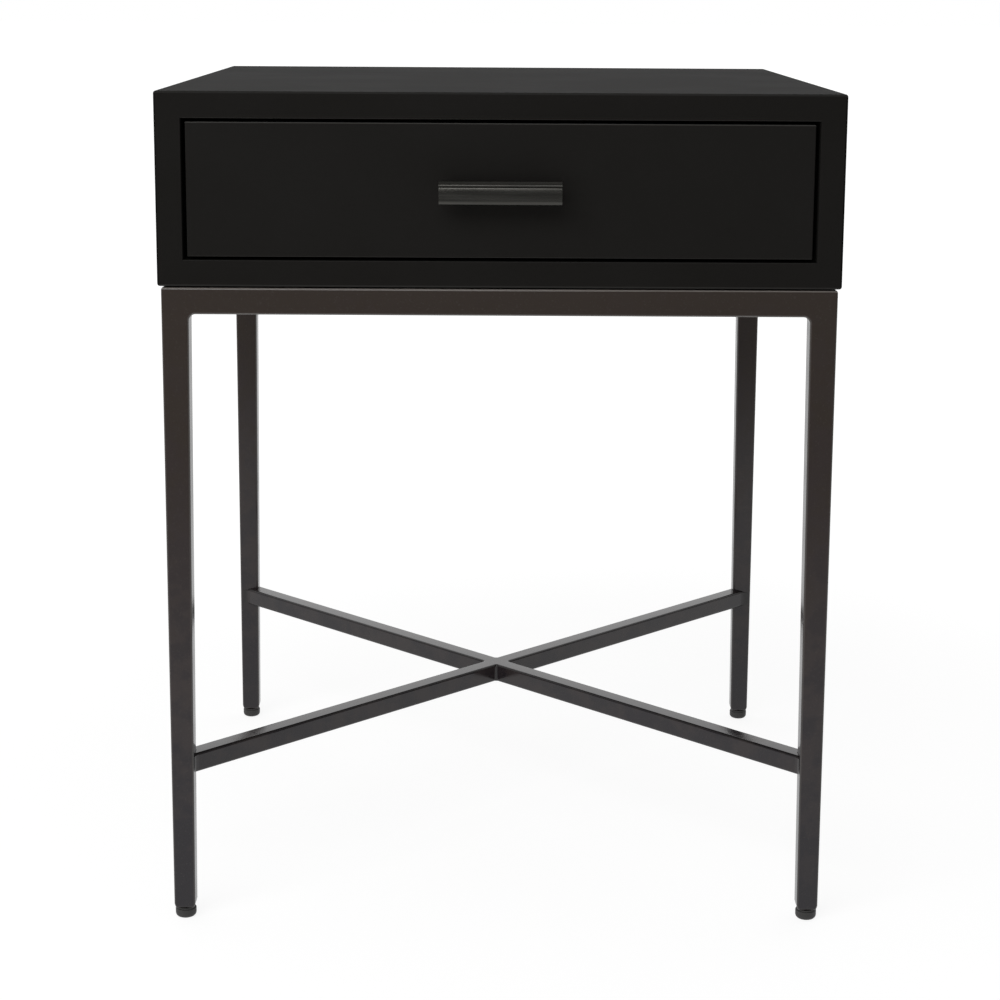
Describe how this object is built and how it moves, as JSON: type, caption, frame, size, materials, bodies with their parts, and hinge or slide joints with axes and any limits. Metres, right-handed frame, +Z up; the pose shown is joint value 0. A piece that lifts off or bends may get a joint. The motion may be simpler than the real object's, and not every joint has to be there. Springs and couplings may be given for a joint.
{
  "type": "side table with drawer",
  "caption": "Square side table: mitred lacquered cabinet with one inset drawer on ball runners, on a tapered-leg steel frame with crossed stretcher.",
  "frame": {"origin": "on the floor, under the middle of the overall box with the handle counted in", "axes": "+Z up, -Y towards the user (the drawer opens along -Y), +X to the right as seen from the front"},
  "size_m": [0.5, 0.524, 0.633],
  "materials": {
    "frame_metal": "satin dark bronze powder coat with a fine mottled grain",
    "black_lacquer": "satin black lacquer over board",
    "handle_metal": "dark gunmetal, satin",
    "foot_plastic": "matt dark grey moulded plastic",
    "box_plywood": "clear-sealed birch plywood",
    "runner_steel": "bright zinc-plated sheet steel",
    "ball_steel": "polished bearing steel",
    "zinc_screw": "zinc-plated",
    "insert_brass": "machined brass"
  },
  "bodies": {
    "root": {"leg_front_left": "frame_metal", "leg_front_right": "frame_metal", "leg_back_left": "frame_metal", "leg_back_right": "frame_metal", "rail_front": "frame_metal", "rail_back": "frame_metal", "rail_left": "frame_metal", "rail_right": "frame_metal", "stretcher_long": "frame_metal", "stretcher_half_front": "frame_metal", "stretcher_half_back": "frame_metal", "foot_front_left": "foot_plastic", "foot_front_right": "foot_plastic", "foot_back_left": "foot_plastic", "foot_back_right": "foot_plastic", "corner_plate_front_left": "frame_metal", "corner_plate_front_right": "frame_metal", "corner_plate_back_left": "frame_metal", "corner_plate_back_right": "frame_metal", "cabinet_bolts": "zinc_screw", "spacer_washers": "foot_plastic", "threaded_inserts": "insert_brass", "top_panel": "black_lacquer", "bottom_panel": "black_lacquer", "left_panel": "black_lacquer", "right_panel": "black_lacquer", "mitre_splines": "box_plywood", "back_panel": "black_lacquer", "back_screws": "zinc_screw", "runner_outer_left": "runner_steel", "runner_outer_right": "runner_steel", "runner_outer_screws": "zinc_screw"},
    "drawer": {"runner_inner_left": "runner_steel", "runner_inner_right": "runner_steel", "runner_inner_screws": "zinc_screw", "drawer_front": "black_lacquer", "box_front": "box_plywood", "box_side_left": "box_plywood", "box_side_right": "box_plywood", "box_back": "box_plywood", "box_bottom": "box_plywood", "front_screws": "zinc_screw", "handle_bar": "handle_metal", "handle_posts": "handle_metal", "handle_screws": "zinc_screw"},
    "cage_left": {"ball_cage_left": "runner_steel", "balls_left": "ball_steel"},
    "cage_right": {"ball_cage_right": "runner_steel", "balls_right": "ball_steel"}
  },
  "joints": [
    {"name": "drawer_slide", "type": "slide", "parent": "root", "child": "drawer", "axis": [0, -1, 0], "range_m": [0, 0.3]},
    {"name": "cage_left_slide", "type": "slide", "parent": "root", "child": "cage_left", "axis": [0, -1, 0], "range_m": [0, 0.15]},
    {"name": "cage_right_slide", "type": "slide", "parent": "root", "child": "cage_right", "axis": [0, -1, 0], "range_m": [0, 0.15]}
  ],
  "couplings": [
    {"joint": "cage_left_slide", "follows": "drawer_slide", "ratio": 0.5},
    {"joint": "cage_right_slide", "follows": "drawer_slide", "ratio": 0.5}
  ]
}
